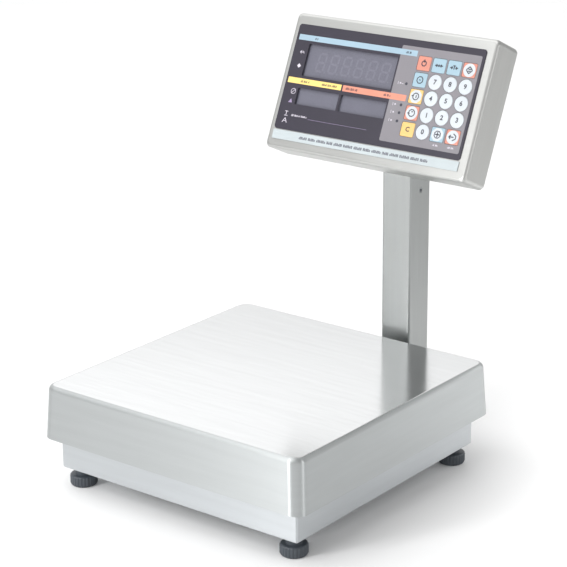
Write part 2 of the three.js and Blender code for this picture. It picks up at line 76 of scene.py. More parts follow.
PLATTER_LOW, PLATTER_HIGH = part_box("platter")
PLATTER_MID = box_middle("platter")
BASE_LOW, BASE_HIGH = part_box("base_frame")
COLUMN_LOW, COLUMN_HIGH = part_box("column")
COLUMN_MID = box_middle("column")
COLUMN_SIDE = COLUMN_HIGH.x - COLUMN_LOW.x
CABLE_HOLE = {"z": 34 * MM, "radius": 3.6 * MM}  # for the cable, through the base's wall and the column's

SHEET = 1.5 * MM
PROUD = 0.03 * MM  # how far printed ink stands above the film it is on

# The head in its own axes. Its place comes from the rear cover, a plain plate at its back.
TILT = math.radians(24.5)
HEAD = {"width": 236 * MM, "height": 138 * MM, "depth": 38.6 * MM, "edge": 3.5 * MM, "corner": 5 * MM}
COVER = {"margin": 5 * MM, "front": 38.9 * MM, "back": 40.4 * MM, "corner": 6 * MM}
OVERLAY = {"left": 6.5 * MM, "bottom": 19.6 * MM, "width": 219 * MM, "height": 107 * MM}
FILM_BACK = -0.3 * MM
FILM_FRONT = -0.8 * MM
KEY_FRONT = -1.1 * MM
INK = FILM_FRONT - PROUD  # the ink's depth on the film, on the keypad field and on the bars
OVER_FIELD = INK - PROUD
OVER_BARS = INK - 2 * PROUD


def head_matrix():
    low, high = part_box("rear_cover")
    top = HEAD["height"] - COVER["margin"]
    y = high.y - (COVER["back"] * math.cos(TILT) + top * math.sin(TILT))
    z = high.z + COVER["front"] * math.sin(TILT) - top * math.cos(TILT)
    return Matrix.Translation(((low.x + high.x) / 2, y, z)) @ Matrix.Rotation(-TILT, 4, "X")


HEAD_AT = head_matrix()
ARM_X = COLUMN_MID.x - HEAD_AT.translation.x  # the column's middle, in the head's axes
FILM_CORNER = Vector((OVERLAY["left"] - HEAD["width"] / 2, 0, OVERLAY["bottom"]))


# ---- Outlines -----------------------------------------------------------------------------


def rounded_rect(left, right, bottom, top, radius, steps=6):
    """A rectangle with round corners, as points (a, b) anticlockwise."""
    points = []
    corners = [(right, bottom, -90), (right, top, 0), (left, top, 90), (left, bottom, 180)]
    for x, y, start in corners:
        cx = x - radius if x == right else x + radius
        cy = y - radius if y == top else y + radius
        for i in range(steps + 1):
            angle = math.radians(start + 90 * i / steps)
            points.append((cx + radius * math.cos(angle), cy + radius * math.sin(angle)))
    return points


def centred(width, height, radius, steps=6):
    return rounded_rect(-width / 2, width / 2, -height / 2, height / 2, radius, steps)


def circle(x, y, radius, sides, start=0.0):
    """A regular polygon's points, from an angle in degrees."""
    angles = [math.radians(start + 360.0 * i / sides) for i in range(sides)]
    return [(x + radius * math.cos(a), y + radius * math.sin(a)) for a in angles]


def quarter(steps):
    """Angles over a quarter turn, for rounding an edge."""
    return [math.pi / 2 * i / steps for i in range(steps + 1)]


def bar(x0, y0, x1, y1, wide):
    """A straight stroke between two points, as its four corners."""
    along = Vector((x1 - x0, y1 - y0)).normalized()
    side = Vector((-along.y, along.x)) * wide / 2
    ends = [(x0 - side.x, y0 - side.y), (x1 - side.x, y1 - side.y)]
    return ends + [(x1 + side.x, y1 + side.y), (x0 + side.x, y0 + side.y)]


def ring_parts(x, y, radius, wide, sides=28, turn=0.0):
    """A ring as quads, each a list of four points."""
    outer = circle(x, y, radius, sides, turn)
    inner = circle(x, y, radius - wide, sides, turn)
    return [[outer[i - 1], outer[i], inner[i], inner[i - 1]] for i in range(sides)]


# ---- Meshes -------------------------------------------------------------------------------


def baked(source):
    """A new mesh of a piece with its modifiers worked out, or of a curve."""
    bpy.context.view_layer.update()
    graph = bpy.context.evaluated_depsgraph_get()
    return bpy.data.meshes.new_from_object(source.evaluated_get(graph))


def mesh_of_curve(curve):
    source = bpy.data.objects.new(curve.name, curve)
    bpy.context.scene.collection.objects.link(source)
    mesh = baked(source)
    bpy.data.objects.remove(source)
    return mesh


def new_object(name, bm, materials, matrix=None, smooth=True):
    """Closes a bmesh into an object with these materials, in the row frame."""
    bmesh.ops.recalc_face_normals(bm, faces=bm.faces)
    mesh = bpy.data.meshes.new(name)
    bm.to_mesh(mesh)
    bm.free()
    if matrix is not None:
        mesh.transform(matrix)
    for material in materials:
        mesh.materials.append(material)
    for face in mesh.polygons:
        face.use_smooth = smooth
    if smooth:
        mesh.set_sharp_from_angle(angle=STEP_ANGLE)
    piece = bpy.data.objects.new(name, mesh)
    bpy.context.scene.collection.objects.link(piece)
    return piece


def weighted(piece):
    """Keeps big flat faces flat in shading where they meet a fillet."""
    modifier = piece.modifiers.new("weighted", "WEIGHTED_NORMAL")
    modifier.keep_sharp = True
    return piece


def ring_length(ring):
    return sum((Vector(ring[i]) - Vector(ring[i - 1])).length for i in range(len(ring)))


def loft(name, rings, materials, closed=False):
    """A skin over rings of equally many points. Ends are capped, or joined to each other if closed.
    Its UV map runs in metres: U along the ring and V from ring to ring, for the brushing."""
    bm = bmesh.new()
    uv = bm.loops.layers.uv.new("Grain")
    rows = [[bm.verts.new(p) for p in ring] for ring in rings]
    count = len(rings[0])
    reach = [0.0]
    longest = max(rings, key=ring_length)
    for i in range(count):
        reach.append(reach[-1] + (Vector(longest[(i + 1) % count]) - Vector(longest[i])).length)
    height = [0.0]
    for low, high in zip(rings, rings[1:] + rings[:1]):
        height.append(height[-1] + (Vector(high[0]) - Vector(low[0])).length)
    pairs = list(range(len(rows) - 1)) + ([len(rows) - 1] if closed else [])
    for r in pairs:
        low, high = rows[r], rows[(r + 1) % len(rows)]
        for i in range(count):
            j = (i + 1) % count
            face = bm.faces.new((low[i], low[j], high[j], high[i]))
            corners = [(reach[i], height[r]), (reach[i + 1], height[r])]
            corners += [(reach[i + 1], height[r + 1]), (reach[i], height[r + 1])]
            for corner, at in zip(face.loops, corners):
                corner[uv].uv = at
    if not closed:
        for row in (rows[0], rows[-1]):
            face = bm.faces.new(row)
            face.normal_update()
            level = max(range(3), key=lambda k: abs(face.normal[k]))
            axes = [k for k in range(3) if k != level]
            for corner in face.loops:
                corner[uv].uv = (corner.vert.co[axes[0]], corner.vert.co[axes[1]])
    return new_object(name, bm, materials)


def ring_at(points, level, axis="Z"):
    """Flat points as a 3-D ring: drawn in X and Y at a height, or in X and Z at a depth."""
    if axis == "Z":
        return [(a, b, level) for a, b in points]
    return [(a, level, b) for a, b in points]


def rounded_plate(name, outline, front, back, edge, material):
    """A plate standing in X and Z between two depths; outline(inset) draws it, and its front is soft."""
    rings = []
    for a in quarter(3):
        rings.append(ring_at(outline(edge * (1 - math.sin(a))), front + edge * (1 - math.cos(a)), "Y"))
    rings.append(ring_at(outline(0), back, "Y"))
    return weighted(loft(name, rings, [material]))


AXIS_TURNS = {
    "X": Matrix.Rotation(math.pi / 2, 4, "Y"),
    "Y": Matrix.Rotation(-math.pi / 2, 4, "X"),
    "Z": Matrix.Identity(4),
}


def lathe(name, profile, centre, axis, materials, sides=32):
    """A solid of revolution: profile is (radius, along) pairs that start and end at radius 0."""
    bm = bmesh.new()
    rows = []
    for radius, along in profile:
        if radius == 0:
            rows.append([bm.verts.new((0, 0, along))])
        else:
            rows.append([bm.verts.new((x, y, along)) for x, y in circle(0, 0, radius, sides)])
    for low, high in zip(rows, rows[1:]):
        for i in range(sides):
            j = (i + 1) % sides
            quad = [low[i % len(low)], low[j % len(low)], high[j % len(high)], high[i % len(high)]]
            bm.faces.new(list(dict.fromkeys(quad)))
    return new_object(name, bm, materials, Matrix.Translation(centre) @ AXIS_TURNS[axis])


def round_cutter(radius, reach, centre, axis):
    """A cylinder that reaches both ways from its centre, for boring a hole."""
    profile = [(0, -reach), (radius, -reach), (radius, reach), (0, reach)]
    return lathe("cutter", profile, centre, axis, [])


def cut_with(piece, *cutters):
    """Cuts the cutters out of a piece and removes them."""
    for cutter in cutters:
        modifier = piece.modifiers.new("cut", "BOOLEAN")
        modifier.operation = "DIFFERENCE"
        modifier.solver = "EXACT"
        modifier.object = cutter
    piece.data = baked(piece)
    piece.modifiers.clear()
    piece.data.set_sharp_from_angle(angle=STEP_ANGLE)
    for cutter in cutters:
        bpy.data.objects.remove(cutter)
    return weighted(piece)


def add_prism(bm, shape, front, back, index):
    near = [bm.verts.new((a, front, b)) for a, b in shape]
    far = [bm.verts.new((a, back, b)) for a, b in shape]
    faces = [bm.faces.new(near), bm.faces.new(list(reversed(far)))]
    for i in range(len(shape)):
        faces.append(bm.faces.new((near[i - 1], near[i], far[i], far[i - 1])))
    for face in faces:
        face.material_index = index


# ---- Materials ----------------------------------------------------------------------------


class Shader:
    """A Principled material whose procedural inputs are added one by one."""

    def __init__(self, name, colour, roughness, metallic=0.0, **sockets):
        self.material = bpy.data.materials.new(name)
        self.material.use_nodes = True
        self.tree = self.material.node_tree
        self.bsdf = self.tree.nodes["Principled BSDF"]
        self.colour = colour
        self.roughness = roughness
        self.bsdf.inputs["Base Color"].default_value = (*colour, 1)
        self.bsdf.inputs["Roughness"].default_value = roughness
        self.bsdf.inputs["Metallic"].default_value = metallic
        for socket, value in sockets.items():
            self.bsdf.inputs[socket.replace("_", " ")].default_value = value

    def node(self, kind, **settings):
        node = self.tree.nodes.new("ShaderNode" + kind)
        for key, value in settings.items():
            setattr(node, key, value)
        return node

    def link(self, out, socket):
        self.tree.links.new(out, socket)

    def noise(self, scale, stretch=(1, 1, 1), source="Object", detail=3.0):
        """Noise over the piece, with its grain stretched."""
        coords = self.node("TexCoord")
        mapping = self.node("Mapping")
        mapping.inputs["Scale"].default_value = [scale * s for s in stretch]
        texture = self.node("TexNoise")
        texture.inputs["Scale"].default_value = 1.0
        texture.inputs["Detail"].default_value = detail
        self.link(coords.outputs[source], mapping.inputs["Vector"])
        self.link(mapping.outputs["Vector"], texture.inputs["Vector"])
        return texture.outputs["Fac"]

    def vary_colour(self, fac, spread):
        """Colour between a little darker and a little lighter than the base."""
        ramp = self.node("ValToRGB")
        ramp.color_ramp.elements[0].position = 0.3
        ramp.color_ramp.elements[1].position = 0.7
        for element, factor in zip(ramp.color_ramp.elements, (1 - spread, 1 + spread)):
            element.color = (*[min(1.0, c * factor) for c in self.colour], 1)
        self.link(fac, ramp.inputs["Fac"])
        self.link(ramp.outputs["Color"], self.bsdf.inputs["Base Color"])

    def vary_roughness(self, fac, spread):
        bounds = self.node("MapRange")
        bounds.inputs["From Min"].default_value = 0.3
        bounds.inputs["From Max"].default_value = 0.7
        bounds.inputs["To Min"].default_value = max(0.02, self.roughness - spread)
        bounds.inputs["To Max"].default_value = self.roughness + spread
        self.link(fac, bounds.inputs["Value"])
        self.link(bounds.outputs["Result"], self.bsdf.inputs["Roughness"])

    def bump(self, fac, strength, distance):
        bump = self.node("Bump")
        bump.inputs["Strength"].default_value = strength
        bump.inputs["Distance"].default_value = distance
        self.link(fac, bump.inputs["Height"])
        self.link(bump.outputs["Normal"], self.bsdf.inputs["Normal"])


def brushed(name, colour, roughness, anisotropy, upright=False):
    """Brushed stainless sheet: fine lines along U, or V if upright, wider streaks, and highlights
    stretched across the lines."""

    def along(length):
        return (1, length, 1) if upright else (length, 1, 1)

    turn = 0.0 if upright else 0.25
    shader = Shader(name, colour, roughness, 1.0, Anisotropic=anisotropy, Anisotropic_Rotation=turn)
    lines = shader.noise(2200, along(0.012), "UV", 2.0)
    shader.vary_roughness(lines, 0.04)
    shader.bump(lines, 0.05, 0.02 * MM)
    shader.vary_colour(shader.noise(160, along(0.06), "UV", 4.0), 0.024)
    tangent = shader.node("Tangent", direction_type="UV_MAP", uv_map="Grain")
    shader.link(tangent.outputs["Tangent"], shader.bsdf.inputs["Tangent"])
    return shader.material


def plain_metal(name, colour, roughness, scale=900):
    """Metal for pieces with no grain map: zinc plate, machined bar or a bolt."""
    shader = Shader(name, colour, roughness, 1.0)
    grain = shader.noise(scale)
    shader.vary_roughness(grain, 0.06)
    shader.bump(grain, 0.06, 0.03 * MM)
    shader.vary_colour(shader.noise(60), 0.05)
    return shader.material


def plastic(name, colour, roughness, grain=2500, strength=0.08, spread=0.03, **sockets):
    """Moulded or printed plastic with a fine texture and a slightly uneven tone."""
    shader = Shader(name, colour, roughness, **sockets)
    texture = shader.noise(grain)
    shader.bump(texture, strength, 0.02 * MM)
    shader.vary_roughness(texture, 0.04)
    shader.vary_colour(shader.noise(45, detail=2.0), spread)
    return shader.material


STEEL_PLATTER = brushed("platter_steel", (0.62, 0.628, 0.632), 0.15, 0.6)
# The platter's skirt is the same brushed sheet as its top, rougher; its darker base colour is painted shade
# for the shaded floor its sides reflect.
SHADED_SKIRT_STEEL = brushed("skirt_steel", (0.49, 0.51, 0.512), 0.42, 0.85)
STEEL_FRAME = brushed("frame_steel", (0.57, 0.594, 0.61), 0.40, 0.8)
STEEL_COLUMN = brushed("column_steel", (0.345, 0.356, 0.353), 0.42, 0.25, upright=True)
STEEL_HEAD = brushed("head_steel", (0.50, 0.504, 0.492), 0.36, 0.7)
STEEL_BRACKET = plain_metal("bracket_steel", (0.55, 0.57, 0.59), 0.38)
STEEL_INSIDE = plain_metal("inside_steel", (0.62, 0.63, 0.63), 0.42)
ZINC = plain_metal("zinc_fastener", (0.60, 0.62, 0.64), 0.33, scale=1500)
ALUMINIUM = plain_metal("cell_aluminium", (0.72, 0.73, 0.75), 0.42)
SUPPLY = plain_metal("supply_cage", (0.62, 0.64, 0.66), 0.4)
RUBBER = plastic("pad_rubber", (0.035, 0.036, 0.04), 0.75, 1200, 0.25)
FOOT = plastic("foot_plastic", (0.052, 0.062, 0.074), 0.42, 1800, 0.15)
JACKET = plastic("cable_jacket", (0.03, 0.03, 0.034), 0.5)
NYLON = plastic("inlet_plastic", (0.025, 0.025, 0.028), 0.5)
BOARD = plastic("circuit_board", (0.02, 0.13, 0.06), 0.4)
VIAL = plastic("level_vial", (0.50, 0.62, 0.06), 0.12, Coat_Weight=0.8)
FILM = plastic("overlay_film", (0.028, 0.024, 0.040), 0.38, 2600, 0.05, 0.05)
LABEL = plastic("label_film", (0.51, 0.565, 0.585), 0.42)
WINDOW = plastic("window_tint", (0.148, 0.148, 0.188), 0.28, 2600, 0.02, 0.03)
DISPLAY = plastic("display_glass", (0.145, 0.147, 0.184), 0.2)
KEY_COLOURS = {
    "white": (0.61, 0.65, 0.69),
    "blue": (0.35, 0.50, 0.59),
    "yellow": (0.83, 0.54, 0.19),
    "coral": (0.65, 0.26, 0.195),
}
KEY_FILM = {tone: plastic("key_" + tone, colour, 0.4) for tone, colour in KEY_COLOURS.items()}
INK_GREY = plastic("ink_grey", (0.24, 0.228, 0.25), 0.36)
INK_BLUE = plastic("ink_blue", (0.35, 0.49, 0.59), 0.36)
INK_YELLOW = plastic("ink_yellow", (0.98, 0.70, 0.22), 0.36)
INK_CORAL = plastic("ink_coral", (0.72, 0.285, 0.20), 0.36)
INK_PALE = plastic("ink_pale", (0.66, 0.62, 0.70), 0.4)
INK_DARK = plastic("ink_dark", (0.035, 0.036, 0.055), 0.4)
INK_FAINT = plastic("ink_faint", (0.178, 0.176, 0.22), 0.28)
INK_SMOKE = plastic("ink_smoke", (0.10, 0.10, 0.13), 0.4)
INK_VIOLET = plastic("ink_violet", (0.30, 0.24, 0.38), 0.4)


# ---- Carried-over CAD nodes ---------------------------------------------------------------

FINISHES = {
    "live_frame": STEEL_BRACKET,
    "load_cell": ALUMINIUM,
    "bubble_level": VIAL,
    "signal_cable": JACKET,
    "head_cable": JACKET,
    "column_bracket": STEEL_BRACKET,
    "head_bracket": STEEL_BRACKET,
    "display_window": WINDOW,
    "display_module": DISPLAY,
    "keypad_board": BOARD,
    "main_board": BOARD,
    "power_unit": SUPPLY,
    "power_inlet": NYLON,
}
BEVELS = {
    "live_frame": 0.8 * MM,
    "load_cell": 0.5 * MM,
    "column_bracket": 0.5 * MM,
    "head_bracket": 0.4 * MM,
    "power_inlet": 0.5 * MM,
    "power_unit": 1.0 * MM,
    "main_board": 0.15 * MM,
}


def finish_of(node):
    if node.startswith("platter_pad"):
        return RUBBER
    if "bolt" in node or "screw" in node or "stud" in node:
        return ZINC
    return FINISHES.get(node, STEEL_INSIDE)


def soften(piece, width):
    """Welds a CAD node's split corners and rounds its sharp edges, without changing its own mesh."""
    weld = piece.modifiers.new("weld", "WELD")
    weld.merge_threshold = 0.002 * MM
    bevel = piece.modifiers.new("bevel", "BEVEL")
    bevel.width = width
    bevel.segments = 2
    bevel.limit_method = "ANGLE"
    bevel.angle_limit = math.radians(40)
    bevel.harden_normals = True


def dress_cad_nodes():
    for name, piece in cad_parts.items():
        piece.data.materials.clear()
        piece.data.materials.append(finish_of(name))
        if name in BEVELS:
            soften(piece, BEVELS[name])
        elif "bolt" in name:
            soften(piece, 0.35 * MM)


# ---- Platter ------------------------------------------------------------------------------

PLATTER_CORNER = 12.5 * MM
PLATTER_EDGE = 4.5 * MM
PLATTER_FLARE = 3 * MM


def platter_rings(inset, edge):
    """Rings of one skin of the platter from the flat of its top down to its rim."""
    top = PLATTER_HIGH.z - inset
    half = (PLATTER_HIGH.x - PLATTER_LOW.x) / 2 - PLATTER_FLARE
    full = PLATTER_HIGH.z - PLATTER_LOW.z
    levels = [(edge * (1 - math.sin(a)), edge * (1 - math.cos(a))) for a in quarter(8)]
    levels += [(0, edge + (full - inset - edge) * share) for share in (0.25, 0.6, 1.0)]
    rings = []
    for back, down in levels:
        flare = PLATTER_FLARE * (down + inset) / full
        size = 2 * (half - inset - back + flare)
        corner = max(0.5 * MM, PLATTER_CORNER - inset - back)
        points = centred(size, size, corner, 10)
        rings.append([(PLATTER_MID.x + x, PLATTER_MID.y + y, top - down) for x, y in points])
    return rings


def make_platter():
    outer = platter_rings(0, PLATTER_EDGE)
    inner = platter_rings(SHEET, PLATTER_EDGE - SHEET)
    rings = outer + list(reversed(inner))
    piece = loft("platter_skin", rings, [STEEL_PLATTER, SHADED_SKIRT_STEEL])
    # The fillet and the sides below it take the skirt steel, so the platter's sides are darker than its top
    # by painted shade.
    fillet_top = PLATTER_HIGH.z - 0.1 * MM
    for face in piece.data.polygons:
        if face.normal.z < -0.5 or min(piece.data.vertices[v].co.z for v in face.vertices) < fillet_top:
            face.material_index = 1
    weighted(piece)
    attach(piece, "platter")
    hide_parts("platter")


# ---- Base frame and feet ------------------------------------------------------------------

FRAME_WALL = 2 * MM
FRAME_CORNER = 2.2 * MM
FRAME_RIM = 0.4 * MM  # roundness of the folded edge at the top
FLOOR_OPENING = {"half": 84 * MM, "near": 32 * MM, "far": 112 * MM, "corner": 12 * MM}
STUD_HOLE = 4.3 * MM
BOLT_HOLE = {"apart": 11.5 * MM, "radius": 3.3 * MM}
FOOT_NAMES = ["front_left", "front_right", "rear_left", "rear_right"]


def slab(x0, x1, y0, y1, z0, z1, corner, name="cutter"):
    """An upright block with round vertical edges."""
    points = rounded_rect(x0, x1, y0, y1, corner, 3)
    return loft(name, [ring_at(points, z0), ring_at(points, z1)], [])


def make_base_frame():
    middle = (BASE_LOW + BASE_HIGH) / 2
    side = BASE_HIGH.x - BASE_LOW.x
    fold = 1.6 * MM

    def level(inset, z, corner):
        points = centred(side - 2 * inset, side - 2 * inset, corner, 5)
        return [(middle.x + x, middle.y + y, z) for x, y in points]

    rings = []
    for a in quarter(4):
        inset = fold * (1 - math.sin(a))
        rings.append(level(inset, BASE_LOW.z + fold * (1 - math.cos(a)), FRAME_CORNER - inset / 2))
    top = BASE_HIGH.z
    floor = BASE_LOW.z + FRAME_WALL
    rings.append(level(0, top - FRAME_RIM, FRAME_CORNER))
    rings.append(level(FRAME_RIM, top, FRAME_CORNER - FRAME_RIM))
    rings.append(level(FRAME_WALL - FRAME_RIM, top, 1 * MM))
    rings.append(level(FRAME_WALL, top - FRAME_RIM, 0.9 * MM))
    rings.append(level(FRAME_WALL, floor + 0.6 * MM, 0.9 * MM))
    rings.append(level(FRAME_WALL + 0.6 * MM, floor, 0.6 * MM))
    tray = loft("base_tray", rings, [STEEL_FRAME])
    z0, z1 = BASE_LOW.z - 5 * MM, BASE_LOW.z + 5 * MM
    half, near, far, corner = FLOOR_OPENING.values()
    cutters = [
        slab(-half, half, middle.y - far, middle.y - near, z0, z1, corner),
        slab(-half, half, middle.y + near, middle.y + far, z0, z1, corner),
    ]
    for foot in FOOT_NAMES:
        at = box_middle("foot_stud_" + foot)
        cutters.append(round_cutter(STUD_HOLE, 5 * MM, (at.x, at.y, BASE_LOW.z), "Z"))
    apart, bolt = BOLT_HOLE["apart"], BOLT_HOLE["radius"]
    for away, radius in [(0, CABLE_HOLE["radius"]), (-apart, bolt), (apart, bolt)]:
        at = (COLUMN_MID.x + away, BASE_HIGH.y, CABLE_HOLE["z"])
        cutters.append(round_cutter(radius, 6 * MM, at, "Y"))
    cut_with(tray, *cutters)
    cell_low, cell_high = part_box("load_cell")
    riser = slab(cell_low.x, cell_low.x + 34 * MM, cell_low.y, cell_high.y,
                 BASE_LOW.z + 1 * MM, cell_low.z - 0.3 * MM, 0.8 * MM, "cell_riser")
    riser.data.materials.append(ALUMINIUM)
    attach(riser, "base")
    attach(tray, "base")
    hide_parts("base_frame")


def knob_rings(at, low, high):
    """A ribbed knob with round rims, a foot pad below and a hub above."""
    ribs, sides = 24, 24 * 8
    radius, depth = 13 * MM, 0.6 * MM
    profile = [  # height above the sole, inset from the ribs' tops, share of the ribs' depth
        (0.0, 1.6 * MM, 0.0), (0.5 * MM, 0.9 * MM, 0.0), (1.3 * MM, 0.4 * MM, 0.4),
        (2.2 * MM, 0.0, 1.0), (9.0 * MM, 0.0, 1.0), (9.9 * MM, 0.35 * MM, 0.5),
        (10.6 * MM, 1.1 * MM, 0.0), (11.0 * MM, 2.2 * MM, 0.0), (11.0 * MM, 5.0 * MM, 0.0),
        (11.4 * MM, 5.4 * MM, 0.0),
    ]
    rings = []
    for height, inset, share in profile:
        ring = []
        for i in range(sides):
            angle = 2 * math.pi * i / sides
            groove = depth * share * (0.5 - 0.5 * math.cos(angle * ribs)) ** 2
            r = radius - inset - groove
            ring.append((at.x + r * math.cos(angle), at.y + r * math.sin(angle), low + height))
        rings.append(ring)
    hub = [(7.5 * MM, high - 0.5 * MM), (7.0 * MM, high), (STUD_HOLE, high), (STUD_HOLE, low + 11.7 * MM)]
    for r, z in hub:
        rings.append(ring_at(circle(at.x, at.y, r, sides), z))
    return rings


def make_feet():
    for foot in FOOT_NAMES:
        node = "foot_knob_" + foot
        low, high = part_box(node)
        knob = weighted(loft("ribbed_foot_" + foot, knob_rings((low + high) / 2, low.z, high.z), [FOOT]))
        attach(knob, node)
        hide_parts(node)


# ---- Column -------------------------------------------------------------------------------


def make_column():
    burr = 0.3 * MM
    levels = [
        (SHEET - burr, COLUMN_LOW.z, 1.4 * MM),
        (burr, COLUMN_LOW.z, 2.3 * MM),
        (0, COLUMN_LOW.z + burr, 2.5 * MM),
        (0, COLUMN_HIGH.z - burr, 2.5 * MM),
        (burr, COLUMN_HIGH.z, 2.3 * MM),
        (SHEET - burr, COLUMN_HIGH.z, 1.4 * MM),
        (SHEET, COLUMN_HIGH.z - burr, 1.2 * MM),
        (SHEET, COLUMN_LOW.z + burr, 1.2 * MM),
    ]
    rings = []
    for inset, z, corner in levels:
        points = centred(COLUMN_SIDE - 2 * inset, COLUMN_SIDE - 2 * inset, corner, 6)
        rings.append([(COLUMN_MID.x + x, COLUMN_MID.y + y, z) for x, y in points])
    tube = loft("column_tube", rings, [STEEL_COLUMN], closed=True)
    cutters = []
    for node, radius in [("pivot_screw_left", 2.8), ("column_bolt_lower", 3.3), ("column_bolt_upper", 3.3)]:
        at = box_middle(node)
        cutters.append(round_cutter(radius * MM, COLUMN_SIDE, (COLUMN_MID.x, at.y, at.z), "X"))
    cable_at = (COLUMN_MID.x, COLUMN_LOW.y, CABLE_HOLE["z"])
    cutters.append(round_cutter(CABLE_HOLE["radius"], 4 * MM, cable_at, "Y"))
    cut_with(tube, *cutters)
    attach(tube, "base")
    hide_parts("column")


def make_pivot_screws():
    """Socket screws sunk in the column's holes, that the head tilts on."""
    shape = [(0, -7), (2.4, -7), (2.4, -0.3), (2.2, 0), (1.9, 0), (1.8, -0.1), (1.8, -4), (0, -4.3)]
    for side, sign in (("left", -1), ("right", 1)):
        node = "pivot_screw_" + side
        low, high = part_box(node)
        at = (low + high) / 2
        profile = [(radius * MM, along * MM * sign) for radius, along in shape]
        face = COLUMN_MID.x + sign * COLUMN_SIDE / 2
        screw = lathe("tilt_screw_" + side, profile, (face, at.y, at.z), "X", [ZINC], 24)
        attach(screw, "base")
        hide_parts(node)


# ---- Head: case and cover -----------------------------------------------------------------

DISPLAY_SPAN = (14, 127, 23, 91)
KEYPAD_SPAN = (145.5, 215, 11.5, 95)
GLAND_Z = 16 * MM  # where the cable enters the head, up its back


def on_film(x, z):
    """A point on the overlay, given in millimetres from its lower left corner, in the head's axes."""
    return FILM_CORNER.x + x * MM, FILM_CORNER.z + z * MM


def film_rect(span, radius=0.0):
    left, right, bottom, top = span
    x0, z0 = on_film(left, bottom)
    x1, z1 = on_film(right, top)
    if radius == 0:
        return [(x0, z0), (x1, z0), (x1, z1), (x0, z1)]
    return rounded_rect(x0, x1, z0, z1, radius * MM, 4)


def case_outline(inset, corner):
    half = HEAD["width"] / 2 - inset
    return rounded_rect(-half, half, inset, HEAD["height"] - inset, corner, 7)


def make_front_case():
    edge, depth = HEAD["edge"], HEAD["depth"]
    lip = 0.6 * MM
    flange = 11 * MM
    back = depth - SHEET
    rings = []
    for a in quarter(6):
        inset = edge * (1 - math.sin(a))
        outline = case_outline(inset, HEAD["corner"] - inset / 2)
        rings.append(ring_at(outline, edge * (1 - math.cos(a)), "Y"))
    for a in quarter(4):
        inset = edge * (1 - math.cos(a))
        outline = case_outline(inset, HEAD["corner"] - inset / 2)
        rings.append(ring_at(outline, depth - edge * (1 - math.sin(a)), "Y"))
    for level in (depth, back):
        rings.append(ring_at(case_outline(flange, 4 * MM), level, "Y"))
    for inset, level in [(lip, back), (0, back - lip), (0, SHEET + lip), (lip, SHEET)]:
        rings.append(ring_at(case_outline(SHEET + inset, 3 * MM), level, "Y"))
    case = loft("head_case", rings, [STEEL_HEAD])
    cutters = []
    for span in (DISPLAY_SPAN, KEYPAD_SPAN):
        outline = film_rect(span, 2.0)
        rings = [ring_at(outline, -2 * MM, "Y"), ring_at(outline, SHEET + 2 * MM, "Y")]
        cutters.append(loft("cutter", rings, []))
    cut_with(case, *cutters)
    place_on_head(case, "head_steel", "front_case")


def place_on_head(piece, slot, *nodes, body="head"):
    piece.data.transform(HEAD_AT)
    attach(piece, body)
    if nodes:
        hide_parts(*nodes)
    return piece


def make_rear_cover():
    margin, front, back = COVER["margin"], COVER["front"], COVER["back"]
    soft = 0.5 * MM

    def outline(inset):
        half = HEAD["width"] / 2 - margin - inset
        return rounded_rect(-half, half, margin + inset, HEAD["height"] - margin - inset,
                            COVER["corner"] - inset, 6)

    rings = [ring_at(outline(0.2 * MM), front, "Y"), ring_at(outline(0), front + 0.2 * MM, "Y")]
    rings += [ring_at(outline(0), back - soft, "Y"), ring_at(outline(soft / 3), back - soft / 3, "Y")]
    rings.append(ring_at(outline(soft), back, "Y"))
    cover = loft("rear_panel", rings, [STEEL_HEAD])
    cutters = []
    for z, radius in [(GLAND_Z, CABLE_HOLE["radius"]), (30 * MM, 2.3 * MM), (46 * MM, 2.3 * MM)]:
        cutters.append(round_cutter(radius, 4 * MM, (ARM_X, back, z), "Y"))
    socket = rounded_rect(-72 * MM, -48 * MM, 16 * MM, 32 * MM, 0.6 * MM, 3)
    rings = [ring_at(socket, front - 4 * MM, "Y"), ring_at(socket, back + 4 * MM, "Y")]
    cutters.append(loft("cutter", rings, []))
    cut_with(cover, *cutters)
    place_on_head(cover, "head_steel", "rear_cover")


def screw_profile(radius, height, shank, length, socket=0.0):
    """A pan-headed screw from its tip to its head, with a round recess if socket is given."""
    points = [(0, -length), (shank, -length), (shank, 0), (radius, 0), (radius, height * 0.45)]
    points += [(radius * 0.86, height * 0.85), (radius * 0.6, height)]
    if socket:
        points += [(socket, height), (socket * 0.9, height * 0.45), (0, height * 0.35)]
    else:
        points.append((0, height * 1.02))
    return points


def make_rear_screws():
    half = HEAD["width"] / 2
    top = HEAD["height"]
    rows = [(z, x) for z in (8.2 * MM, top - 8.2 * MM) for x in (-half + 14 * MM, 0, half - 14 * MM)]
    rows += [(top / 2, x) for x in (-half + 8.2 * MM, half - 8.2 * MM)]
    profile = screw_profile(2.6 * MM, 0.5 * MM, 1.4 * MM, 1.2 * MM, 1.1 * MM)
    for i, (z, x) in enumerate(rows, 1):
        screw = lathe(f"cover_screw_{i}", profile, (x, COVER["back"], z), "Y", [ZINC], 20)
        place_on_head(screw, "zinc_fastener")


def make_cable_gland():
    profile = [(2.6, -1.0), (3.5, -1.0), (3.5, 0.05), (6.0, 0.05), (6.0, 1.0), (5.4, 1.6), (4.4, 2.0),
               (4.0, 4.6), (3.4, 6.0), (2.7, 6.2), (2.6, 6.0)]
    sides = 32
    bm = bmesh.new()
    rows = [[bm.verts.new((x, y, z * MM)) for x, y in circle(0, 0, r * MM, sides)] for r, z in profile]
    for low, high in zip(rows, rows[1:] + rows[:1]):
        for i in range(sides):
            bm.faces.new((low[i - 1], low[i], high[i], high[i - 1]))
    at = Matrix.Translation((ARM_X, COVER["back"], GLAND_Z)) @ AXIS_TURNS["Y"]
    place_on_head(new_object("cable_gland", bm, [NYLON], at), "cable_jacket")


# ---- Face: overlay, print and label -------------------------------------------------------

